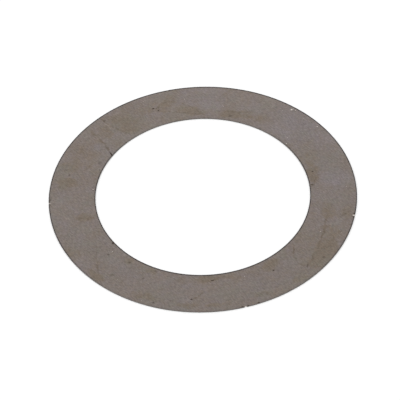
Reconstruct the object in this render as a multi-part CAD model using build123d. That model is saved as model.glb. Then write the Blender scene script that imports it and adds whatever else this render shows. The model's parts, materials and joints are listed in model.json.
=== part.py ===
from build123d import *
import os

# Spacer ring: one flat ring blanked from cold-rolled steel strip, which sets a bearing or gear
# along its shaft. Sizes are in millimetres. The origin is the centre of the lower face, where the
# ring lies, and +Z is the axis, out through the face that the die pressed.

# The place that the ring fills, and the ring's thickness
SHAFT_DIAMETER = 50.0
SHAFT_CLEARANCE = 0.10  # on the diameter, so the ring slips over the shaft
SEAT_WIDTH = 11.0  # radial room between the shaft and its 72 mm housing
HOUSING_CLEARANCE = 0.10  # on the diameter, so the ring drops into the housing
THICKNESS = 0.30

# Bands that blanking leaves on a cut edge, which a press shop gives as shares of the thickness
ROLL_DEPTH_SHARE = 0.13  # the face is drawn down at the edge before the steel shears
ROLL_WIDTH_SHARE = 0.33  # how far in from the edge that rounding starts
LAND_SHARE = 0.45  # bright band, sheared at full size
DIE_CLEARANCE_SHARE = 0.05  # the torn band below the land falls back by this much
DEBURR_RADIUS = 0.02  # tumbling rounds the lower edges, where the burr was

# Nicks that handling has knocked in the rim: angle from +X, width along the rim, depth into it
RIM_NICKS = [
    (-13.6, 0.50, 0.16),
    (182.1, 0.40, 0.12),
    (284.0, 0.50, 0.14),
]

# Gouge in the upper face: a short channel with a blunt end, open to the bore
GOUGE_ANGLE = 147.5  # from +X, where it meets the bore
GOUGE_SLANT = -34.5  # from the radius there to the way that it runs outward
GOUGE_LENGTH = 0.65  # from the bore to the middle of its blunt end
GOUGE_WIDTH = 0.34
GOUGE_DEPTH = 0.12
GOUGE_OVERRUN = 0.3  # by which its cutter starts inside the open bore

# Radii and heights that follow from the sizes above
bore_radius = (SHAFT_DIAMETER + SHAFT_CLEARANCE) / 2
rim_radius = SHAFT_DIAMETER / 2 + SEAT_WIDTH - HOUSING_CLEARANCE / 2
roll_depth = ROLL_DEPTH_SHARE * THICKNESS
roll_width = ROLL_WIDTH_SHARE * THICKNESS
land_top = THICKNESS - roll_depth
land_bottom = land_top - LAND_SHARE * THICKNESS
taper = DIE_CLEARANCE_SHARE * THICKNESS


def scallop_radius(width, depth):
    """Radius of the arc that is this wide where it has this depth."""
    return (width**2 / 4 + depth**2) / (2 * depth)


def blanked_section():
    """Section of the band between bore and rim, with both edges as the die left them."""
    with BuildSketch(Plane.XZ) as section:
        with BuildLine():
            Polyline(
                (bore_radius, land_top),
                (bore_radius, land_bottom),
                (bore_radius + taper, 0),
                (rim_radius - taper, 0),
                (rim_radius, land_bottom),
                (rim_radius, land_top),
            )
            TangentArc((rim_radius - roll_width, THICKNESS), (rim_radius, land_top), tangent=(1, 0))
            Line((rim_radius - roll_width, THICKNESS), (bore_radius + roll_width, THICKNESS))
            TangentArc((bore_radius + roll_width, THICKNESS), (bore_radius, land_top), tangent=(-1, 0))
        make_face()
        lower_corners = section.vertices().group_by(Axis.Y)[0]
        fillet(lower_corners, DEBURR_RADIUS)
    return section.sketch


def rim_nick(angle, width, depth):
    """Upright round cutter that takes a shallow scallop out of the rim."""
    radius = scallop_radius(width, depth)
    from_below = (Align.CENTER, Align.CENTER, Align.MIN)
    cutter = Pos(X=rim_radius + radius - depth) * Cylinder(radius, THICKNESS, align=from_below)
    return cutter.rotate(Axis.Z, angle)


def bore_gouge():
    """Level bar with a ball end, whose lower side digs the channel."""
    radius = scallop_radius(GOUGE_WIDTH, GOUGE_DEPTH)
    meeting = Vector(bore_radius, 0, THICKNESS + radius - GOUGE_DEPTH).rotate(Axis.Z, GOUGE_ANGLE)
    run = Vector(1, 0, 0).rotate(Axis.Z, GOUGE_ANGLE + GOUGE_SLANT)
    start = Plane(origin=meeting - run * GOUGE_OVERRUN, z_dir=run)
    from_start = (Align.CENTER, Align.CENTER, Align.MIN)
    bar = start * Cylinder(radius, GOUGE_OVERRUN + GOUGE_LENGTH, align=from_start)
    return bar + Pos(meeting + run * GOUGE_LENGTH) * Sphere(radius)


ring = revolve(blanked_section(), Axis.Z)
for nick in RIM_NICKS:
    ring -= rim_nick(*nick)
ring -= bore_gouge()
ring.label = "spacer_ring"

os.makedirs("parts", exist_ok=True)
export_step(ring, "parts/spacer_ring.step")
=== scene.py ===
# %% [markdown]
# The object is a spacer ring: one flat ring of cold-rolled steel, 0.3 mm thick, that sets a bearing
# or a gear along its shaft. The imported model is loaded first. It is the fixed frame, in metres, that
# everything below is built in, and its box is read for the ring's sizes. The dressed ring has to stay
# inside it.

# %% Load the imported ring
import json
import math

import bpy
from mathutils import Matrix, Vector


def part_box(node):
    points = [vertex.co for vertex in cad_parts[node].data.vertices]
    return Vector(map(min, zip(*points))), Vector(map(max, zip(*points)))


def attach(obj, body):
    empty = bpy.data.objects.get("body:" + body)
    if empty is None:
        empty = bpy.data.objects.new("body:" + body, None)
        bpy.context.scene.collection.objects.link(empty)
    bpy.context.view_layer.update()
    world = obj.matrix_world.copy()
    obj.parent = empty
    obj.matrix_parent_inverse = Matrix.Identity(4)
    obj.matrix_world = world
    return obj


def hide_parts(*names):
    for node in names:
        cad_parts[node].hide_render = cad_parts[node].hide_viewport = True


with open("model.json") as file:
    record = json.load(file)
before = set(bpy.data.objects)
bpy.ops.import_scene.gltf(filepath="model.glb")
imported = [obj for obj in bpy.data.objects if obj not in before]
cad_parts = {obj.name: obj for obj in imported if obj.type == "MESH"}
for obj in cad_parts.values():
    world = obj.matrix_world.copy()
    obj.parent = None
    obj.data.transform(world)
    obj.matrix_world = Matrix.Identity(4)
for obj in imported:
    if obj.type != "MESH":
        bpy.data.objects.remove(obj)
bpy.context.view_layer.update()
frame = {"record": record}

MM = 0.001  # one millimetre in metres

# %% [markdown]
# The sizes of the ring come from the frame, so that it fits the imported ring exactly: the thickness
# from its box, and the two radii from its mounts, which are the bore that goes over the shaft and
# the rim that drops into the housing. The bands on a blanked edge are shares of the thickness.

# %% Take the ring's sizes from the frame
RING = "spacer_ring"
lowest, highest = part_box(RING)
thickness = highest.z - lowest.z
radii = {mount["name"]: mount["dims"]["r_mm"] * MM for mount in frame["record"]["mounts"] if mount["dims"]}
bore, rim = radii["bore"], radii["rim"]
band = rim - bore
middle = (rim + bore) / 2

roll_depth = 0.13 * thickness  # the face is drawn down at its edges before the steel shears
roll_width = 0.33 * thickness
land_top = thickness - roll_depth
land_bottom = land_top - 0.45 * thickness  # the bright band, sheared at full size, ends here
taper = 0.05 * thickness  # the torn band below falls back by this much
deburr = 0.02 * MM  # tumbling rounds the lower edges
print(f"bore {bore / MM:.2f} mm, rim {rim / MM:.2f} mm, thickness {thickness / MM:.2f} mm")

# %% [markdown]
# The camera stands half a metre off with a long lens, so the far side of the ring is hardly smaller
# than the near side. It looks down at about 47 degrees, and it is rolled by 2 degrees, so the ring
# leans a little to the right in the frame. A track quaternion points it at its aim, and a turn
# about its own axis gives the roll.

# %% Stand the camera
CAMERA_DISTANCE = 528.36 * MM
CAMERA_ELEVATION = math.radians(46.784)
CAMERA_ROLL = math.radians(-2.109)
CAMERA_AIM = Vector((-0.675, -1.763, 0.15)) * MM  # where the middle of the frame falls on the ring's plane
LENS_MM = 203.75  # on a 36 mm sensor

camera = bpy.data.objects.new("camera", bpy.data.cameras.new("camera"))
camera.data.sensor_width = 36
camera.data.lens = LENS_MM
camera.data.clip_start = 10 * MM
camera.data.clip_end = 20
back = Vector((0, -math.cos(CAMERA_ELEVATION), math.sin(CAMERA_ELEVATION)))
camera.location = Vector((0, 0, thickness / 2)) + back * CAMERA_DISTANCE
pointed = (CAMERA_AIM - camera.location).to_track_quat("-Z", "Y").to_matrix()
camera.rotation_euler = (pointed @ Matrix.Rotation(CAMERA_ROLL, 3, "Z")).to_euler()
bpy.context.scene.collection.objects.link(camera)
bpy.context.scene.camera = camera
print("camera at", [round(value / MM, 1) for value in camera.location], "mm")

# %% [markdown]
# Two helpers serve every material. A colour is written as a paint chart gives it, in hex, and
# Blender wants it linear. A node is added with its settings, and each of its inputs is either
# linked, if the value is another node's output, or set.

# %% Colours and nodes
def linear(colour):
    """Linear RGBA of an sRGB colour such as "#7F7671"."""
    channels = [int(colour[i:i + 2], 16) / 255 for i in (1, 3, 5)]
    return [c / 12.92 if c <= 0.04045 else ((c + 0.055) / 1.055) ** 2.4 for c in channels] + [1.0]


def add_node(tree, kind, inputs=None, **settings):
    """Adds one node with its settings, and links or sets its inputs."""
    node = tree.nodes.new(kind)
    for name, value in settings.items():
        setattr(node, name, value)
    for socket, value in (inputs or {}).items():
        if isinstance(value, bpy.types.NodeSocket):
            tree.links.new(value, node.inputs[socket])
        else:
            node.inputs[socket].default_value = value
    return node


print("steel grey in linear light:", [round(value, 3) for value in linear("#7F7671")[:3]])

# %% [markdown]
# The ring lies on a white sweep under light so soft that it leaves almost no shadow. A white world
# does most of that: rays from the camera and reflections in the metal see it at full white, and the
# light that it sheds on dull surfaces is a little lower. The Light Path node tells the two apart. The
# view transform is Standard, so that a colour renders as it is written.

# %% Surround the ring with white
AMBIENT = 0.85  # what the world sheds on dull surfaces, where 1 is white
WHITE = "#FFFFFF"


def seen_by_ray(tree):
    """1 for a ray from the camera, off metal or through glass, and 0 for the light on dull surfaces."""
    rays = add_node(tree, "ShaderNodeLightPath").outputs
    seen = rays["Is Camera Ray"]
    for kind in ("Is Glossy Ray", "Is Transmission Ray"):
        seen = add_node(tree, "ShaderNodeMath", {0: seen, 1: rays[kind]}, operation="MAXIMUM").outputs[0]
    return seen


scene = bpy.context.scene
scene.view_settings.view_transform = "Standard"
world = bpy.data.worlds.new("white_surround")
world.use_nodes = True
scene.world = world
sky = world.node_tree
strength = add_node(sky, "ShaderNodeMapRange", {"Value": seen_by_ray(sky), "To Min": AMBIENT, "To Max": 1.0})
background = sky.nodes["Background"]
background.inputs["Color"].default_value = linear(WHITE)
sky.links.new(strength.outputs[0], background.inputs["Strength"])
print("world made, with ambient light", AMBIENT)

# %% [markdown]
# The floor is plain white board. It lies a hair under the ring, so that the two never share
# a surface. Seen by the camera or in a reflection it glows a little on top of the light that it
# gets, which lifts it to white and still lets the shadow at the ring's foot show.

# %% Lay the floor
FLOOR_SIZE = 6.0  # metres, so that its edges stay far out of sight
FLOOR_DROP = 0.01 * MM
FLOOR_GLOW = 0.32
FLOOR_PAINT = "#E8E8E8"

bpy.ops.object.select_all(action="DESELECT")
bpy.ops.mesh.primitive_plane_add(size=FLOOR_SIZE, location=(0, 0, -FLOOR_DROP))
floor = bpy.context.object
floor.name = "floor"
board = bpy.data.materials.new("white_board")
board.use_nodes = True
tree = board.node_tree
glow = add_node(tree, "ShaderNodeMath", {0: seen_by_ray(tree), 1: FLOOR_GLOW}, operation="MULTIPLY")
shader = tree.nodes["Principled BSDF"]
shader.inputs["Base Color"].default_value = linear(FLOOR_PAINT)
shader.inputs["Roughness"].default_value = 1.0
shader.inputs["Specular IOR Level"].default_value = 0.0
shader.inputs["Emission Color"].default_value = linear(WHITE)
tree.links.new(glow.outputs[0], shader.inputs["Emission Strength"])
floor.data.materials.append(board)
print("floor laid", FLOOR_DROP / MM, "mm under the ring")

# %% [markdown]
# Two soft lamps model the steel. One stands behind the ring, where the far side of the band mirrors
# it a little more than the near side does, and the other fills in from the left. A lamp adds its
# glow to the white behind it. An area lamp of side s and power P glows with P / (pi s s), so the
# power is worked out from the glow that is wanted, where the white world has 1.

# %% Hang the lamps
def hang_lamp(name, place, side, glow):
    """Hangs a square soft lamp that faces the ring. Place and side are in millimetres."""
    lamp = bpy.data.objects.new(name, bpy.data.lights.new(name, "AREA"))
    lamp.data.size = side * MM
    lamp.data.energy = glow * math.pi * lamp.data.size ** 2
    lamp.location = Vector(place) * MM
    lamp.rotation_euler = (-lamp.location).to_track_quat("-Z", "Y").to_euler()
    lamp.visible_camera = False
    scene.collection.objects.link(lamp)
    print(name, "at", place, "mm, side", side, "mm, power", round(lamp.data.energy, 3), "W")


hang_lamp("lamp_behind", (-10, 245, 190), 150, 0.5)
hang_lamp("lamp_left", (-260, -60, 240), 160, 1.2)

# %% [markdown]
# Marks lie on the ring where handling, oil and rust left them, so each has its own place. Object
# coordinates in millimetres give the place on the ring. A Mapping node of type Texture moves, turns
# and shrinks them until a mark is a ball of radius 1, and a spherical gradient, which is 1 in the
# middle and 0 at that radius, draws it. The ball is flattened, so that a mark stays on the upper
# face. A gradient takes a point as it comes from Mapping, where a length would first convert it:
# with more than a hundred marks, those conversions ask for more room than one shader has.

# %% Place marks on the upper face
MARK_SKIN = 0.15  # mm that a mark reaches above and below the upper face
STROKE_OVERLAP = 0.8  # half length of a stroke's mark, as a share of its step, so that ends overlap
face_height = thickness / MM


def place_in_mm(tree):
    """The place on the ring in millimetres."""
    coordinates = add_node(tree, "ShaderNodeTexCoord")
    scale = add_node(tree, "ShaderNodeVectorMath",
                     {0: coordinates.outputs["Object"], 1: (1 / MM, 1 / MM, 1 / MM)}, operation="MULTIPLY")
    return scale.outputs[0]


def draw_marks(tree, place, marks, edge, join="MAXIMUM"):
    """Mask of all the marks: centre x and y, half length, half width, angle and strength of each."""
    mask = None
    for x, y, along, across, angle, strength in marks:
        local = add_node(tree, "ShaderNodeMapping", {
            "Vector": place, "Location": (x, y, face_height), "Rotation": (0, 0, math.radians(angle)),
            "Scale": (along, across, MARK_SKIN)}, vector_type="TEXTURE")
        ball = add_node(tree, "ShaderNodeTexGradient", {0: local.outputs[0]}, gradient_type="SPHERICAL")
        mark = add_node(tree, "ShaderNodeMapRange", {
            "Value": ball.outputs[1], "From Max": edge, "To Max": strength},
            interpolation_type="SMOOTHSTEP", clamp=False).outputs[0]
        if mask is not None:
            mark = add_node(tree, "ShaderNodeMath", {0: mask, 1: mark}, operation=join).outputs[0]
        mask = mark
    return mask


def stroke(points, width, strength):
    """Slim marks, end over end, that draw a line through the points."""
    marks = []
    for start, end in zip(points, points[1:]):
        right, up = end[0] - start[0], end[1] - start[1]
        half_length = math.hypot(right, up) * STROKE_OVERLAP
        angle = math.degrees(math.atan2(up, right))
        x, y = (start[0] + end[0]) / 2, (start[1] + end[1]) / 2
        marks.append((x, y, half_length, width / 2, angle, strength))
    return marks


print("marks reach", MARK_SKIN, "mm round a face at", round(face_height, 3), "mm")

# %% [markdown]
# The face is bare cold-rolled strip. Ground rolls leave it flat and dull, a warm grey with the
# faint grain of the rolling, and oil that dried on it has left olive stains with darker tide marks
# at their edges. Where a hand or a cloth wiped it, the steel is cooler and a little lighter.
# Lighter patches on top are painted sheen, mostly on the outer band at the back and right, where the lamp
# behind gleams.
# The stains are listed by place, in millimetres on the ring: x, y, half length, half width, angle
# in degrees, strength. Noise then bends their outlines.

# %% List what oil and handling left on the face, and the painted sheen
OIL_STAINS = [
    (-16.0, 26.0, 9.0, 6.0, 25, 0.35),
    (-27.0, 14.0, 5.0, 7.0, 0, 0.2),
    (24.0, -19.0, 9.0, 7.0, -50, 0.32),
    (-19.5, 25.2, 5.5, 2.2, -12, 0.8),
    (-17.0, 22.0, 3.2, 2.2, -25, 0.8),
    (-22.8, 21.6, 2.2, 3.6, 20, 0.55),
    (-20.2, 18.0, 1.6, 1.8, 0, 0.4),
    (-29.8, 16.0, 1.8, 2.6, 15, 0.4),
    (-31.0, 10.6, 3.2, 2.8, 0, 0.65),
    (-31.6, 5.0, 3.6, 2.0, 0, 0.9),
    (-25.2, 8.0, 2.0, 1.8, 0, 0.4),
    (-25.8, 13.2, 2.2, 1.5, 30, 0.4),
    (-7.8, 30.8, 4.2, 2.2, 62, 0.6),
    (-2.0, 27.6, 5.0, 1.9, -8, 0.85),
    (8.5, 26.0, 5.0, 1.8, -6, 0.9),
    (14.5, 24.2, 3.6, 1.6, -25, 0.45),
    (26.1, 5.6, 1.9, 4.6, 8, 1.1),
    (26.0, 11.2, 2.0, 2.4, 0, 0.35),
    (28.8, -7.0, 2.6, 3.4, 0, 0.65),
    (33.4, -7.5, 1.8, 3.8, -12, 0.55),
    (28.6, -13.6, 3.4, 3.4, -20, 0.6),
    (27.8, -18.6, 4.2, 3.2, 35, 0.75),
    (25.0, -22.0, 2.4, 3.2, -25, 0.55),
    (14.8, -22.6, 3.0, 2.0, 25, 0.9),
    (21.0, -27.2, 2.4, 1.5, 30, 0.6),
    (12.6, -31.6, 3.2, 1.3, 18, 0.6),
    (0.4, -26.5, 4.2, 1.5, 2, 1.1),
    (6.0, -26.0, 3.4, 1.1, 14, 0.45),
    (-5.5, -26.6, 2.4, 1.6, 0, 0.35),
    (-12.2, -23.4, 2.2, 1.2, -28, 0.7),
    (-16.9, -20.7, 1.6, 1.3, 0, 0.5),
    (-24.6, -24.3, 3.0, 1.6, -45, 0.95),
    (-30.0, -17.0, 1.5, 2.8, 25, 0.6),
    (-13.6, -31.0, 4.6, 1.7, -22, 0.6),
    (-4.6, -33.9, 3.8, 1.1, -6, 0.8),
    (2.4, -34.0, 3.2, 1.0, 4, 0.75),
    (-27.0, -5.8, 3.0, 1.8, 0, 0.45),
]
WIPED_PATCHES = [
    (22.0, 22.5, 8.0, 8.0, 0, 0.8),
    (29.5, 17.5, 5.0, 7.0, 25, 0.6),
    (3.0, 30.4, 4.2, 4.4, 0, 0.7),
    (31.4, 3.2, 4.6, 5.2, 0, 0.9),
    (20.0, 17.8, 3.0, 2.4, -45, 0.5),
    (-24.6, 16.6, 2.6, 1.9, 0, 0.8),
    (1.0, 34.6, 9.0, 1.4, -3, 0.55),
    (-28.6, 20.6, 2.6, 4.0, 35, 0.35),
    (-11.4, 26.8, 3.6, 1.8, 0, 0.4),
    (7.0, -28.8, 3.0, 1.4, 0, 0.35),
    (-12.6, -28.6, 3.0, 1.4, 0, 0.3),
]
# Painted sheen: lighter patches, mostly on the outer band at the back and right, where the lamp behind
# gleams.
SHEEN_PATCHES = [
    (10.2, 31.2, 3.0, 1.4, 0, 0.9),
    (3.2, 28.4, 2.4, 3.2, 0, 0.6),
    (1.0, 34.3, 9.0, 1.8, 0, 1.1),
    (-14.0, 31.4, 1.5, 1.0, 20, 0.5),
    (-19.0, 27.6, 1.6, 1.3, 60, 0.6),
    (33.8, 2.5, 1.4, 5.0, 4, 0.6),
    (32.0, 11.5, 2.0, 4.0, 18, 0.6),
    (31.0, 15.5, 1.6, 5.0, 27, 0.5),
    (25.0, 23.6, 5.0, 1.6, -43, 0.7),
    (17.0, 30.4, 6.0, 1.7, -29, 0.9),
    (-32.6, -1.0, 2.6, 3.4, 0, 0.4),
    (-27.0, -9.6, 2.6, 1.5, -20, 0.6),
    (-22.3, 23.6, 3.0, 1.0, -48, 0.6),
]
TIDE_MARKS = (
    stroke([(-10.2, 28.4), (-9.6, 30.2), (-8.0, 31.0), (-5.0, 30.9), (-2.6, 29.6), (-1.0, 28.0),
            (1.2, 26.0)], 0.7, 0.7)
    + stroke([(-10.0, 28.0), (-6.0, 27.4), (-2.0, 26.9), (0.8, 26.4)], 0.6, 1.0)
    + stroke([(5.2, 26.9), (9.0, 26.8), (14.0, 26.2)], 0.6, 0.6)
    + stroke([(-24.0, 26.0), (-21.8, 23.6), (-19.0, 21.8), (-16.8, 20.4)], 0.8, 0.9)
    + stroke([(-26.5, 22.2), (-24.5, 19.8), (-22.8, 17.0), (-21.6, 14.6)], 0.8, 0.8)
    + stroke([(-24.8, -15.0), (-24.6, -20.0), (-24.2, -24.0)], 0.7, 0.5)
    + stroke([(20.2, -16.8), (20.1, -20.5), (20.9, -22.4), (22.3, -23.2)], 0.6, 0.9)
    + stroke([(28.4, -8.0), (28.0, -11.0), (26.8, -15.5), (25.2, -19.0), (24.0, -22.5)], 0.8, 0.8)
    + stroke([(30.0, -14.0), (29.0, -16.5), (27.6, -18.6), (26.2, -18.3)], 0.8, 0.6)
    + stroke([(-29.5, -6.3), (-27.2, -6.7), (-25.2, -6.6)], 0.9, 0.7)
    + stroke([(30.5, -9.2), (34.2, -7.0)], 0.8, 0.4)
    + stroke([(-2.8, -31.8), (-2.0, -31.7)], 0.6, 0.6)
    + stroke([(-1.8, -31.5), (-1.2, -30.9), (-0.6, -30.3)], 0.6, 1.3)
    + stroke([(25.3, 0.8), (26.2, 2.4), (27.0, 4.4), (27.9, 5.1)], 0.5, 1.0)
    + stroke([(-27.8, 8.8), (-25.6, 11.2)], 0.7, 0.5)
)
SCRATCHES = (
    stroke([(-34.6, -3.5), (-32.9, -5.2), (-30.5, -7.2)], 0.8, 0.9)
    + stroke([(-23.6, 25.2), (-20.3, 21.6)], 0.5, 0.7)
    + stroke([(20.4, 17.3), (21.2, 18.2)], 0.35, 0.8)
    + stroke([(25.8, 17.0), (26.6, 15.9)], 0.45, 1.0)
)
DIRT_SPOTS = [
    (23.2, -23.4, 0.75, 0.35, 75, 0.62),
    (-17.2, -20.55, 0.35, 0.35, 0, 0.7),
    (25.5, 1.7, 0.42, 0.32, 60, 0.9),
    (-12.1, -32.7, 0.42, 0.34, 0, 0.85),
    (-8.05, -32.35, 0.35, 0.3, 0, 0.6),
    (-31.2, 7.6, 0.4, 0.4, 0, 0.55),
    (-22.15, -17.8, 0.45, 0.4, 0, 0.6),
    (-14.0, -25.5, 0.65, 0.3, 10, 0.55),
    (-23.2, 25.4, 0.5, 0.4, 0, 0.6),
    (-21.1, -24.0, 1.0, 0.4, 5, 0.3),
    (17.6, -28.7, 0.6, 0.5, 45, 0.25),
    (-23.95, 11.2, 0.75, 0.6, 0, 0.34),
    (7.35, 25.4, 0.9, 0.4, 0, 0.42),
    (-11.3, -23.4, 0.8, 0.4, -20, 0.35),
    (27.08, -21.2, 0.6, 0.5, 0, 0.4),
    (-17.8, 17.7, 0.4, 0.35, 45, 0.6),
    (-23.3, 17.6, 0.3, 0.25, 0, 0.35),
    (-21.65, 14.6, 0.45, 0.24, 125, 0.6),
    (-20.8, -14.38, 0.44, 0.36, 35, 1.0),
    (18.6, -30.7, 0.9, 0.3, 31, 0.45),
    (34.35, -8.6, 0.22, 0.22, 0, 0.5),
    (-35.6, -0.1, 0.7, 0.3, 90, 0.5),
    (-35.6, -1.9, 0.45, 0.3, 90, 0.5),
]
mark_count = sum(map(len, (OIL_STAINS, WIPED_PATCHES, SHEEN_PATCHES, TIDE_MARKS, SCRATCHES, DIRT_SPOTS)))
print(mark_count, "marks listed")

# %% [markdown]
# Cold-rolled strip is a metal, so its colour is the colour of its reflection. Its material is begun
# with the masks of the marks. Liquid spreads unevenly, so no stain is a clean oval: noise pushes the
# place about before the marks read it, by most of a millimetre for the wide stains and by less for
# thin lines and spots. The middle of the noise is taken away, so that nothing drifts to one side.

# %% Cold-rolled strip, bare and oil-stained
STAIN_BEND, STAIN_BEND_SIZE = 0.8, 3.0  # mm that noise moves an outline, and the size of its waves
LINE_BEND, LINE_BEND_SIZE = 0.3, 1.2
NOISE_SWING = 0.25  # a noise seldom strays farther than this from its middle
STAIN_EDGE, PATCH_EDGE, LINE_EDGE, SPOT_EDGE = 0.65, 1.0, 0.9, 0.7  # share of a mark that fades out

strip = bpy.data.materials.new("cold_rolled_strip")
strip.use_nodes = True
tree = strip.node_tree
place = place_in_mm(tree)


def bend(amount, size):
    """The place on the ring, pushed about in its plane by noise waves of this size."""
    waves = add_node(tree, "ShaderNodeTexNoise", {"Vector": place, "Scale": 1 / size, "Detail": 3.0})
    centred = add_node(tree, "ShaderNodeVectorMath", {0: waves.outputs["Color"], 1: (0.5, 0.5, 0.5)},
                       operation="SUBTRACT")
    reach = amount / NOISE_SWING
    push = add_node(tree, "ShaderNodeVectorMath", {
        0: centred.outputs[0], 1: (reach, reach, 0), 2: place}, operation="MULTIPLY_ADD")
    return push.outputs[0]


soft_place = bend(STAIN_BEND, STAIN_BEND_SIZE)
line_place = bend(LINE_BEND, LINE_BEND_SIZE)
stains = draw_marks(tree, soft_place, OIL_STAINS, STAIN_EDGE, "ADD")
wiped = draw_marks(tree, soft_place, WIPED_PATCHES, PATCH_EDGE, "ADD")
# The lighter patches are painted sheen.
painted_sheen = draw_marks(tree, soft_place, SHEEN_PATCHES, PATCH_EDGE, "ADD")
tides = draw_marks(tree, line_place, TIDE_MARKS, LINE_EDGE)
scratches = draw_marks(tree, line_place, SCRATCHES, LINE_EDGE)
spots = draw_marks(tree, line_place, DIRT_SPOTS, SPOT_EDGE)
print("strip has", len(tree.nodes), "nodes so far")

# %% [markdown]
# Clouds of all sizes from 9 mm down to a fraction of a millimetre cover both faces. Their place is
# stretched along the axis, so that the lower face has clouds of its own. A second noise of three
# colours gives the tones, one channel for warmth and one for oxide. The grain runs with the
# rolling. A real one is about 0.03 mm across, and it is drawn at 0.3 mm so that it shows.

# %% Clouds, tones and rolling grain
CLOUD_SIZE = 9.0  # mm
TONE_SIZE = CLOUD_SIZE / 1.3  # another size, so that tones and clouds don't coincide
ROLLING_DIRECTION = -48  # degrees from +X
GRAIN_ACROSS, GRAIN_ALONG = 0.3, 0.8  # mm
FACES_APART = 60  # how much farther apart the two faces are for the noise

spread = add_node(tree, "ShaderNodeMapping", {"Vector": place, "Scale": (1, 1, FACES_APART)})
clouds = add_node(tree, "ShaderNodeTexNoise", {
    "Vector": spread.outputs[0], "Scale": 1 / CLOUD_SIZE, "Detail": 6.0, "Roughness": 0.95}).outputs[0]
tones = add_node(tree, "ShaderNodeTexNoise", {
    "Vector": spread.outputs[0], "Scale": 1 / TONE_SIZE, "Detail": 6.0, "Roughness": 1.0}).outputs[1]
tone = add_node(tree, "ShaderNodeSeparateColor", {0: tones})
with_rolling = add_node(tree, "ShaderNodeMapping", {
    "Vector": spread.outputs[0], "Rotation": (0, 0, math.radians(ROLLING_DIRECTION)),
    "Scale": (GRAIN_ALONG, GRAIN_ACROSS, 1)}, vector_type="TEXTURE")
grain = add_node(tree, "ShaderNodeTexNoise", {
    "Vector": with_rolling.outputs[0], "Scale": 1.0, "Detail": 3.0, "Roughness": 0.7}).outputs[0]
print("clouds of", CLOUD_SIZE, "mm, grain", GRAIN_ACROSS, "mm across")

# %% [markdown]
# A thin dark line of painted shade runs in and beside the drawn-down rounding at both edges, where the
# rounding turns away from the light, and it is fullest along the far half of the rim and the near half of the
# bore. It is worked out from the distance to the axis. Dividing y by that distance gives the side of the
# ring, 1 at the back and -1 at the front, which sets how wide and how full the line is.

# %% Painted shade along the edges
EDGE_SHADE_WIDTH = 0.28  # mm at the left and right of the ring
EDGE_SHADE_EXTRA = 0.18  # mm that it is wider at the front and back
EDGE_SHADE_CORE = 0.4  # share of its width that is full before it fades out
EDGE_SHADE_LEAST = 0.15  # its share on the side of rim or bore where it is thinnest

flat = add_node(tree, "ShaderNodeVectorMath", {0: place, 1: (1, 1, 0)}, operation="MULTIPLY")
radius = add_node(tree, "ShaderNodeVectorMath", {0: flat.outputs[0]}, operation="LENGTH").outputs["Value"]
along_y = add_node(tree, "ShaderNodeSeparateXYZ", {0: place}).outputs["Y"]
side = add_node(tree, "ShaderNodeMath", {0: along_y, 1: radius}, operation="DIVIDE").outputs[0]
reach = add_node(tree, "ShaderNodeMath", {0: side}, operation="ABSOLUTE").outputs[0]
reach = add_node(tree, "ShaderNodeMath", {0: reach, 1: EDGE_SHADE_EXTRA, 2: EDGE_SHADE_WIDTH},
                 operation="MULTIPLY_ADD").outputs[0]
edge_shade = None
for edge_radius, inward, most in ((rim / MM, -1, 1.6), (bore / MM, 1, 1.5)):
    depth = add_node(tree, "ShaderNodeMath", {0: radius, 1: inward, 2: -inward * edge_radius},
                     operation="MULTIPLY_ADD").outputs[0]
    depth = add_node(tree, "ShaderNodeMath", {0: depth, 1: reach}, operation="DIVIDE").outputs[0]
    at_edge = add_node(tree, "ShaderNodeMapRange", {
        "Value": depth, "From Min": 1.0, "From Max": EDGE_SHADE_CORE},
        interpolation_type="SMOOTHSTEP").outputs[0]
    share = add_node(tree, "ShaderNodeMapRange", {
        "Value": side, "From Min": inward, "From Max": 0.0, "To Min": EDGE_SHADE_LEAST, "To Max": most},
        interpolation_type="SMOOTHSTEP").outputs[0]
    at_edge = add_node(tree, "ShaderNodeMath", {0: at_edge, 1: share}, operation="MULTIPLY").outputs[0]
    if edge_shade is not None:
        at_edge = add_node(tree, "ShaderNodeMath", {0: edge_shade, 1: at_edge}, operation="MAXIMUM").outputs[0]
    edge_shade = at_edge
print("edge shade", EDGE_SHADE_WIDTH, "to", round(EDGE_SHADE_WIDTH + EDGE_SHADE_EXTRA, 2), "mm wide")

# %% [markdown]
# Lightness and warmth are each a sum: every pattern is multiplied by what it adds or takes, and
# added to the last. A noise has its middle at 0.5, so a sum starts low by half of what it adds.
# Stains and tide marks are stronger here and weaker there, so noise breaks them first.

# %% Lightness and warmth of the strip
PATCH_SIZE = 1.6  # mm, of the noise that breaks the stains
NOISE_LOW, NOISE_HIGH = 0.35, 0.65  # where that noise leaves a stain weakest and strongest
CLOUD_GAIN, GRAIN_GAIN, TONE_GAIN = 0.6, 1.2, 2.8
MEAN_LIGHTNESS, MEAN_WARMTH = 0.973, 0.5


def weighted_sum(tree, start, parts):
    """Start plus every pattern times its weight."""
    total = start
    for pattern, weight in parts:
        total = add_node(tree, "ShaderNodeMath", {0: pattern, 1: weight, 2: total},
                         operation="MULTIPLY_ADD").outputs[0]
    return total


def broken(tree, pattern, noise, least):
    """The pattern, weaker here and stronger there as a noise has it."""
    share = add_node(tree, "ShaderNodeMapRange", {
        "Value": noise, "From Min": NOISE_LOW, "From Max": NOISE_HIGH,
        "To Min": least, "To Max": 2 - least}).outputs[0]
    return add_node(tree, "ShaderNodeMath", {0: pattern, 1: share}, operation="MULTIPLY").outputs[0]


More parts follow.
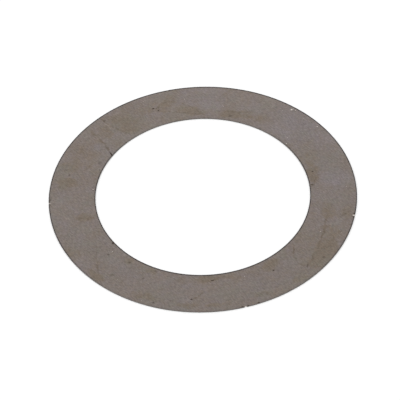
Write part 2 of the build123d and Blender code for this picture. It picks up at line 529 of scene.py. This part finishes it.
patches = add_node(tree, "ShaderNodeTexNoise", {
    "Vector": spread.outputs[0], "Scale": 1 / PATCH_SIZE, "Detail": 4.0, "Roughness": 0.8}).outputs[1]
patches = add_node(tree, "ShaderNodeSeparateColor", {0: patches})
tides = broken(tree, tides, patches.outputs["Red"], 0.2)
stains = broken(tree, stains, patches.outputs["Green"], 0.4)
# The painted shade at both edges darkens the strip here and cools it a little.
lightness = weighted_sum(tree, MEAN_LIGHTNESS - (CLOUD_GAIN + GRAIN_GAIN) / 2, [
    (clouds, CLOUD_GAIN), (grain, GRAIN_GAIN), (painted_sheen, 0.07),
    (tides, -0.17), (scratches, 0.2), (edge_shade, -0.5)])
warmth = weighted_sum(tree, MEAN_WARMTH - TONE_GAIN / 2, [
    (tone.outputs["Green"], TONE_GAIN), (stains, 0.62), (wiped, -0.5), (tides, 0.55), (edge_shade, -0.1)])
print("mean lightness", MEAN_LIGHTNESS, "and warmth", MEAN_WARMTH)

# %% [markdown]
# The colour starts from three greys: the olive of stained steel, the cooler one of wiped steel, and
# the faint green of a thin oxide film. Warmth and the oxide tone mix them, and lightness scales the
# result. A dirt spot covers the steel, so there the surface is mostly no metal. Typical strip has a
# roughness near 0.5, which blurs a reflection away.

# %% Put the strip's finish together
STAINED_STEEL = "#7D7166"
WIPED_STEEL = "#827A7B"
OXIDE_FILM = "#7B786F"
OXIDE_SHARE, OXIDE_GAIN = 0.15, 3.2
SPOT_COLOUR = "#4C4036"
SPOT_COVER = 0.7  # share of the metal that a full dirt spot hides
STRIP_ROUGHNESS = 0.42  # before clouds, stains and spots add to it
GRAIN_HEIGHT = 0.002 * MM
BUMP_STRENGTH = 0.6
MIX_FACTOR, MIX_A, MIX_B, MIX_COLOUR = 0, 6, 7, 2  # sockets of a Mix node that mixes colours

grey = add_node(tree, "ShaderNodeMix", {
    MIX_FACTOR: warmth, MIX_A: linear(WIPED_STEEL), MIX_B: linear(STAINED_STEEL)}, data_type="RGBA")
oxide = weighted_sum(tree, OXIDE_SHARE - OXIDE_GAIN / 2, [(tone.outputs["Blue"], OXIDE_GAIN)])
filmed = add_node(tree, "ShaderNodeMix", {
    MIX_FACTOR: oxide, MIX_A: grey.outputs[MIX_COLOUR], MIX_B: linear(OXIDE_FILM)}, data_type="RGBA")
lit = add_node(tree, "ShaderNodeVectorMath", {0: filmed.outputs[MIX_COLOUR], "Scale": lightness},
               operation="SCALE")
spotted = add_node(tree, "ShaderNodeMix", {
    MIX_FACTOR: spots, MIX_A: lit.outputs[0], MIX_B: linear(SPOT_COLOUR)}, data_type="RGBA")
metal = add_node(tree, "ShaderNodeMath", {0: spots, 1: -SPOT_COVER, 2: 1.0}, operation="MULTIPLY_ADD")
roughness = weighted_sum(tree, STRIP_ROUGHNESS, [(clouds, 0.16), (stains, 0.04), (spots, 0.2)])
bump = add_node(tree, "ShaderNodeBump", {
    "Height": grain, "Strength": BUMP_STRENGTH, "Distance": GRAIN_HEIGHT})
shader = tree.nodes["Principled BSDF"]
tree.links.new(spotted.outputs[MIX_COLOUR], shader.inputs["Base Color"])
tree.links.new(metal.outputs[0], shader.inputs["Metallic"])
tree.links.new(roughness, shader.inputs["Roughness"])
tree.links.new(bump.outputs[0], shader.inputs["Normal"])
print("strip finished with", len(tree.nodes), "nodes")

# %% [markdown]
# The cut edge shows how the ring was made. The punch burnishes the upper part of the wall to
# a bright land with fine upright lines, and the rest tears off dull. Both are newer than the face
# and free of its stains, so they are cooler. Both greys are also set darker than the steel alone, as painted
# shade where the wall stands at the floor. The lines stand round the wall: their noise is squeezed in the
# plane and stretched along the axis. It also makes the lower end of the land ragged.

# %% Sheared edge, bright land over torn band
# Both wall greys carry painted shade from the foot of the wall as well as the steel's own colour.
LAND_STEEL_SHADED, TORN_STEEL_SHADED = "#726E6B", "#544F4C"
DRAW_LINE_WIDTH = 0.12  # mm, drawn four times as coarse as the real lines so that they show
DRAW_LINE_STRETCH = 0.15  # how much slower the lines change along the axis
DRAW_LINE_HEIGHT = 0.004 * MM
RAGGED = 0.12  # mm by which the lines move the end of the land up and down
LAND_FADE = 0.02  # mm above and below its end in which the land fades out
land_end = land_bottom / MM + RAGGED / 2

sheared = bpy.data.materials.new("sheared_edge")
sheared.use_nodes = True
tree = sheared.node_tree
place = place_in_mm(tree)
height = add_node(tree, "ShaderNodeSeparateXYZ", {0: place}).outputs["Z"]
lines = add_node(tree, "ShaderNodeMapping", {"Vector": place, "Scale": (1, 1, DRAW_LINE_STRETCH)})
lines = add_node(tree, "ShaderNodeTexNoise", {
    "Vector": lines.outputs[0], "Scale": 1 / DRAW_LINE_WIDTH, "Detail": 3.0}).outputs[0]
ragged = add_node(tree, "ShaderNodeMath", {0: lines, 1: RAGGED, 2: height}, operation="MULTIPLY_ADD")
on_land = add_node(tree, "ShaderNodeMapRange", {
    "Value": ragged.outputs[0], "From Min": land_end - LAND_FADE, "From Max": land_end + LAND_FADE})
wall = add_node(tree, "ShaderNodeMix", {
    MIX_FACTOR: on_land.outputs[0], MIX_A: linear(TORN_STEEL_SHADED), MIX_B: linear(LAND_STEEL_SHADED)}, data_type="RGBA")
streak = add_node(tree, "ShaderNodeMapRange", {"Value": lines, "To Min": 0.85, "To Max": 1.15})
streaked = add_node(tree, "ShaderNodeVectorMath", {0: wall.outputs[MIX_COLOUR], "Scale": streak.outputs[0]},
                    operation="SCALE")
polish = add_node(tree, "ShaderNodeMapRange", {"Value": on_land.outputs[0], "To Min": 0.6, "To Max": 0.32})
bump = add_node(tree, "ShaderNodeBump", {
    "Height": lines, "Strength": BUMP_STRENGTH, "Distance": DRAW_LINE_HEIGHT})
shader = tree.nodes["Principled BSDF"]
shader.inputs["Metallic"].default_value = 1.0
tree.links.new(streaked.outputs[0], shader.inputs["Base Color"])
tree.links.new(polish.outputs[0], shader.inputs["Roughness"])
tree.links.new(bump.outputs[0], shader.inputs["Normal"])
print("land from", round(land_bottom / MM, 3), "to", round(land_top / MM, 3), "mm")

# %% [markdown]
# A fresh dent or nick shows steel that has had no time to tarnish, light and fairly shiny, and here it is
# painted near white as well, a painted glint of the light off its slopes. An old pit has filled with dirt and
# rust, which is dull, dark and no metal. Both are small, so one noise with a grain of a tenth of a millimetre
# is all the pattern that they need.

# %% Fresh steel with a painted glint, and packed dirt
SPECKLE_SIZE = 0.1  # mm


def small_finish(name, dark, light, metallic, roughness):
    """A finish for small marks, speckled between two colours."""
    material = bpy.data.materials.new(name)
    material.use_nodes = True
    tree = material.node_tree
    speckle = add_node(tree, "ShaderNodeTexNoise", {
        "Vector": place_in_mm(tree), "Scale": 1 / SPECKLE_SIZE}).outputs[0]
    colour = add_node(tree, "ShaderNodeMix", {
        MIX_FACTOR: speckle, MIX_A: linear(dark), MIX_B: linear(light)}, data_type="RGBA")
    rough = add_node(tree, "ShaderNodeMapRange", {
        "Value": speckle, "To Min": roughness - 0.1, "To Max": roughness + 0.1})
    shader = tree.nodes["Principled BSDF"]
    shader.inputs["Metallic"].default_value = metallic
    tree.links.new(colour.outputs[MIX_COLOUR], shader.inputs["Base Color"])
    tree.links.new(rough.outputs[0], shader.inputs["Roughness"])
    return material


# Painted glint: the near-white steel of dents and nicks stands for light glancing off their slopes.
glint_steel = small_finish("glint_on_new_steel", "#B5ADA6", "#E6DED8", 1.0, 0.35)
dirt = small_finish("packed_dirt", "#2E2620", "#4A3B30", 0.0, 0.8)
print("small finishes:", glint_steel.name, dirt.name)

# %% [markdown]
# The ring could be a ring primitive or a disc with a hole cut in it, but a turned section shows its
# edges best. The section starts as an upright plane, as wide as the band. The rounding that blanking
# leaves on the face is oval, wider than it is deep, and a bevel only makes round ones, so the plane
# is made too tall by that ratio, its top corners are bevelled round, and it is pressed down to the
# real thickness.

# %% Draw the section
ROLL_SEGMENTS = 6
stretch = roll_width / roll_depth


def select_vertices(obj, wanted):
    """In edit mode, selects just the vertices whose place passes the test."""
    bpy.ops.object.mode_set(mode="OBJECT")
    for face in obj.data.polygons:
        face.select = False
    for edge in obj.data.edges:
        edge.select = False
    for vertex in obj.data.vertices:
        vertex.select = wanted(vertex.co)
    bpy.ops.object.mode_set(mode="EDIT")
    bpy.ops.mesh.select_mode(type="VERT")


bpy.ops.object.select_all(action="DESELECT")
bpy.ops.mesh.primitive_plane_add(size=1.0, rotation=(math.radians(90), 0, 0))
ring = bpy.context.object
ring.name = "dressed_ring"
bpy.ops.object.transform_apply(location=True, rotation=True, scale=True)
bpy.ops.object.mode_set(mode="EDIT")
bpy.ops.mesh.select_all(action="SELECT")
bpy.ops.transform.resize(value=(band, 1, thickness * stretch), center_override=(0, 0, 0))
bpy.ops.transform.translate(value=(middle, 0, thickness * stretch / 2))
select_vertices(ring, lambda place: place.z > thickness * stretch * 0.5)
bpy.ops.mesh.bevel(offset=roll_width, segments=ROLL_SEGMENTS, affect="VERTICES")
bpy.ops.mesh.select_all(action="SELECT")
bpy.ops.transform.resize(value=(1, 1, 1 / stretch), center_override=(0, 0, 0))
bpy.ops.object.mode_set(mode="OBJECT")
print("section:", len(ring.data.vertices), "corners, height",
      round(max(vertex.co.z for vertex in ring.data.vertices) / MM, 4), "mm")

# %% [markdown]
# Spun once round the axis, the outline of the section becomes the skin of the ring. At one step for
# each degree a step leaves the true circle by only a thousandth of a millimetre. The spin ends where
# it began, so the doubles there are merged, with a distance far below the smallest edge.

# %% Spin the section into a ring
SPIN_STEPS = 360
MERGE_DISTANCE = 0.0005 * MM

bpy.ops.object.mode_set(mode="EDIT")
bpy.ops.mesh.select_all(action="SELECT")
bpy.ops.mesh.delete(type="ONLY_FACE")
bpy.ops.mesh.select_all(action="SELECT")
bpy.ops.mesh.spin(steps=SPIN_STEPS, angle=math.tau, center=(0, 0, 0), axis=(0, 0, 1))
bpy.ops.mesh.select_all(action="SELECT")
bpy.ops.mesh.remove_doubles(threshold=MERGE_DISTANCE)
bpy.ops.object.mode_set(mode="OBJECT")
print("ring:", len(ring.data.vertices), "vertices,", len(ring.data.polygons), "faces")

# %% [markdown]
# The lower part of both walls tore instead of being cut, so it falls back a little from the full
# size. A bisect puts a loop of edges where the bright land ends, and the two loops at the foot are
# then drawn back from the rim and the bore. Last, the foot is bevelled as tumbling leaves it.

# %% Shape the torn band and the lower edges
DEBURR_SEGMENTS = 3
NEAR_ENOUGH = 0.001 * MM


def on_circle(place, radius, height):
    """True for a vertex on the circle of this radius at this height."""
    return abs(place.xy.length - radius) < NEAR_ENOUGH and abs(place.z - height) < NEAR_ENOUGH


bpy.ops.object.mode_set(mode="EDIT")
bpy.ops.mesh.select_all(action="SELECT")
bpy.ops.mesh.bisect(plane_co=(0, 0, land_bottom), plane_no=(0, 0, 1))
for full_radius, torn_radius in ((rim, rim - taper), (bore, bore + taper)):
    select_vertices(ring, lambda place: on_circle(place, full_radius, 0))
    factor = torn_radius / full_radius
    bpy.ops.transform.resize(value=(factor, factor, 1), center_override=(0, 0, 0))
    select_vertices(ring, lambda place: on_circle(place, torn_radius, 0))
    bpy.ops.mesh.select_mode(type="EDGE")
    bpy.ops.mesh.bevel(offset=deburr, segments=DEBURR_SEGMENTS, affect="EDGES")
bpy.ops.mesh.select_mode(type="VERT")
bpy.ops.mesh.select_all(action="SELECT")
bpy.ops.mesh.remove_doubles(threshold=MERGE_DISTANCE)
bpy.ops.mesh.normals_make_consistent(inside=False)
bpy.ops.object.mode_set(mode="OBJECT")
print("blanked ring:", len(ring.data.vertices), "vertices,", len(ring.data.polygons), "faces")

# %% [markdown]
# The ring gets its finishes by where a face lies. The walls between the drawn-down rounding and the
# lower edge are sheared steel, and everything else is still the strip's own surface. The finishes
# of dents and pits get a place on the ring too, for the faces that are cut later.

# %% Give each face its finish
WALL_LEAN = 0.35  # a wall's normal points up or down by less than this
finishes = [strip, sheared, glint_steel, dirt]


def count_finishes():
    """Prints how many faces have each finish."""
    for index, finish in enumerate(finishes):
        print(finish.name, "on", sum(face.material_index == index for face in ring.data.polygons), "faces")


for finish in finishes:
    ring.data.materials.append(finish)
for face in ring.data.polygons:
    on_wall = abs(face.normal.z) < WALL_LEAN and face.center.z < land_top
    face.material_index = finishes.index(sheared if on_wall else strip)
count_finishes()

# %% [markdown]
# Knocks have left their traces too: three nicks in the rim, a gouge that runs out from the bore,
# dents that get a painted glint, and dirty pits. They are listed by place first. The nicks and the gouge are
# the packed ring's own. The rest are as small as texture, the longest under a millimetre.

# %% List the nicks, the gouge, the dents and the pits
RIM_NICKS = [  # angle from +X in degrees, width along the rim and depth into it in mm
    (-13.6, 0.50, 0.16),
    (182.1, 0.40, 0.12),
    (284.0, 0.50, 0.14),
]
GOUGE_ANGLE = 147.5  # degrees from +X, where it meets the bore
GOUGE_SLANT = -34.5  # degrees from the radius there to the way that it runs outward
GOUGE_LENGTH, GOUGE_WIDTH, GOUGE_DEPTH = 0.65, 0.34, 0.12  # mm
GOUGE_OVERRUN = 0.3  # mm by which its cutter starts in the open bore
# Real dents, finished in near-white steel as a painted glint.
GLINTING_DENTS = [  # x, y, half length, half width, angle: bright
    (22.15, 26.88, 0.25, 0.19, 30),
    (22.65, 27.05, 0.10, 0.08, 0),
    (23.10, 26.60, 0.10, 0.08, 0),
    (27.98, 20.80, 0.135, 0.11, 60),
    (-13.60, 31.45, 0.07, 0.05, 20),
    (-25.60, 2.70, 0.12, 0.095, 80),
    (-21.03, -17.03, 0.105, 0.08, 40),
    (-12.95, -27.08, 0.046, 0.038, 0),
    (8.78, -25.95, 0.08, 0.065, 0),
    (26.72, -13.05, 0.10, 0.08, 30),
    (20.30, 15.48, 0.12, 0.09, -40),
    (20.65, 17.50, 0.085, 0.065, 45),
    (5.78, 28.80, 0.05, 0.04, 0),
    (-19.92, -25.50, 0.055, 0.05, 0),
    (-14.50, -32.00, 0.058, 0.046, 0),
    (31.48, -13.68, 0.045, 0.036, 0),
    (-7.80, 34.90, 0.06, 0.045, 12),
    (-3.60, 31.72, 0.075, 0.06, 0),
    (19.98, 26.72, 0.065, 0.05, 0),
    (33.66, 0.80, 0.065, 0.05, 0),
    (-24.28, 9.36, 0.06, 0.05, 0),
    (-21.02, 14.12, 0.07, 0.05, 0),
    (34.58, -8.42, 0.20, 0.17, -14),
    (-35.64, -1.34, 0.10, 0.18, 0),
]
PITS = [  # the same, dirty
    (-11.22, 28.88, 0.27, 0.23, 0),
    (-10.50, 28.90, 0.14, 0.12, 0),
    (-10.00, 28.22, 0.24, 0.15, -45),
    (15.40, -24.42, 0.25, 0.20, 30),
    (25.98, 5.98, 0.21, 0.17, 0),
    (1.55, -26.82, 0.44, 0.15, 15),
    (-3.34, -32.20, 0.24, 0.19, 0),
    (-20.80, -14.38, 0.38, 0.30, 35),
    (-21.50, 14.24, 0.28, 0.20, 113),
    (-24.16, 8.93, 0.12, 0.10, 0),
    (-25.48, 2.30, 0.12, 0.10, 0),
    (11.64, -33.85, 0.26, 0.17, 19),
    (34.78, -7.95, 0.24, 0.15, 77),
    (34.50, -9.10, 0.22, 0.13, 75),
    (7.95, -34.90, 0.26, 0.15, 13),
    (9.30, -34.58, 0.24, 0.14, 15),
]
print(len(RIM_NICKS), "nicks, 1 gouge,", len(GLINTING_DENTS), "dents,", len(PITS), "pits")

# %% [markdown]
# Each mark is a cutter with the finish that it leaves behind, fresh steel with a painted glint in nicks and
# dents and packed dirt in pits and gouge. Upright cylinders cut the nicks, and flattened balls press the
# dents and pits. The gouge needs a level bar with a ball end. Two pieces that meet there would leave
# slivers, so half of one ball is deleted and its open ring is extruded back into a bar and capped.
# An arc is given by its width and depth, as a gauge would measure it, and its radius follows.

# %% Make the cutters
DENT_DEPTH_SHARE = 0.25  # of the half width, for dents and pits


def scallop_radius(width, depth):
    """Radius of the arc that is this wide where it has this depth."""
    return (width ** 2 / 4 + depth ** 2) / (2 * depth)


def finish_cutter(finish):
    """Applies the new cutter's place and gives it the finish that it leaves."""
    cutter = bpy.context.object
    bpy.ops.object.transform_apply(location=True, rotation=True, scale=True)
    cutter.data.materials.append(finish)
    return cutter


def cut_nick(angle, width, depth):
    """An upright cylinder that takes a shallow scallop out of the rim."""
    reach = scallop_radius(width, depth) * MM
    distance = rim + reach - depth * MM
    turn = math.radians(angle)
    bpy.ops.mesh.primitive_cylinder_add(
        vertices=64, radius=reach, depth=thickness * 2,
        location=(distance * math.cos(turn), distance * math.sin(turn), thickness / 2))
    return finish_cutter(glint_steel)


def press_ball(finish, x, y, along, across, angle):
    """A flattened ball whose lower half presses into the face."""
    bpy.ops.mesh.primitive_uv_sphere_add(
        segments=20, ring_count=12, radius=MM, location=(x * MM, y * MM, thickness),
        rotation=(0, 0, math.radians(angle)), scale=(along, across, across * DENT_DEPTH_SHARE))
    return finish_cutter(finish)


def dig_gouge():
    """A ball whose rear half is drawn back as a level bar, so that it starts in the open bore."""
    radius = scallop_radius(GOUGE_WIDTH, GOUGE_DEPTH)
    turn = math.radians(GOUGE_ANGLE)
    heading = math.radians(GOUGE_ANGLE + GOUGE_SLANT)
    run = Vector((math.cos(heading), math.sin(heading), 0))
    axis_height = face_height + radius - GOUGE_DEPTH
    meeting = Vector((bore / MM * math.cos(turn), bore / MM * math.sin(turn), axis_height))
    end = (meeting + run * GOUGE_LENGTH) * MM
    bpy.ops.mesh.primitive_uv_sphere_add(
        segments=48, ring_count=24, radius=radius * MM,
        location=end, rotation=run.to_track_quat("Z", "Y").to_euler())
    gouge = finish_cutter(dirt)
    select_vertices(gouge, lambda place: (place - end).dot(run) < -NEAR_ENOUGH)
    bpy.ops.mesh.delete(type="VERT")
    select_vertices(gouge, lambda place: abs((place - end).dot(run)) < NEAR_ENOUGH)
    bpy.ops.mesh.extrude_region_move(
        TRANSFORM_OT_translate={"value": run * -(GOUGE_OVERRUN + GOUGE_LENGTH) * MM})
    bpy.ops.mesh.edge_face_add()
    bpy.ops.mesh.select_all(action="SELECT")
    bpy.ops.mesh.normals_make_consistent(inside=False)
    bpy.ops.object.mode_set(mode="OBJECT")
    return gouge


bpy.ops.object.select_all(action="DESELECT")
cutters = [cut_nick(*nick) for nick in RIM_NICKS]
cutters += [press_ball(glint_steel, *dent) for dent in GLINTING_DENTS]
cutters += [press_ball(dirt, *pit) for pit in PITS]
cutters.append(dig_gouge())
print(len(cutters), "cutters made")

# %% [markdown]
# The cutters are joined into one tool, so that a single exact Boolean takes them all away from the
# ring. It passes the tool's finishes on to the faces that it cuts. Some cutters overlap, so it is
# told to mind where the tool crosses itself. The tool is then deleted. Weighted normals keep the
# big flat faces flat right up to their roundings, so that no shading creeps over the face.

# %% Cut the marks and smooth the ring
SMOOTH_BELOW = math.radians(30)  # a sharper edge than this stays sharp

bpy.ops.object.select_all(action="DESELECT")
for cutter in cutters:
    cutter.select_set(True)
bpy.context.view_layer.objects.active = cutters[0]
bpy.ops.object.join()
tool = bpy.context.object

bpy.ops.object.select_all(action="DESELECT")
ring.select_set(True)
bpy.context.view_layer.objects.active = ring
cut = ring.modifiers.new("marks", "BOOLEAN")
cut.operation = "DIFFERENCE"
cut.solver = "EXACT"
cut.use_self = True
cut.material_mode = "TRANSFER"
cut.object = tool
bpy.ops.object.modifier_apply(modifier=cut.name)
bpy.data.objects.remove(tool)

bpy.ops.object.shade_smooth_by_angle(angle=SMOOTH_BELOW)
weigh = ring.modifiers.new("weighted", "WEIGHTED_NORMAL")
weigh.keep_sharp = True
bpy.ops.object.modifier_apply(modifier=weigh.name)
print("cut ring:", len(ring.data.vertices), "vertices,", len(ring.data.polygons), "faces")
count_finishes()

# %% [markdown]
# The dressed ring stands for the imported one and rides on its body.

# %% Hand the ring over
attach(ring, "root")
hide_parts(RING)
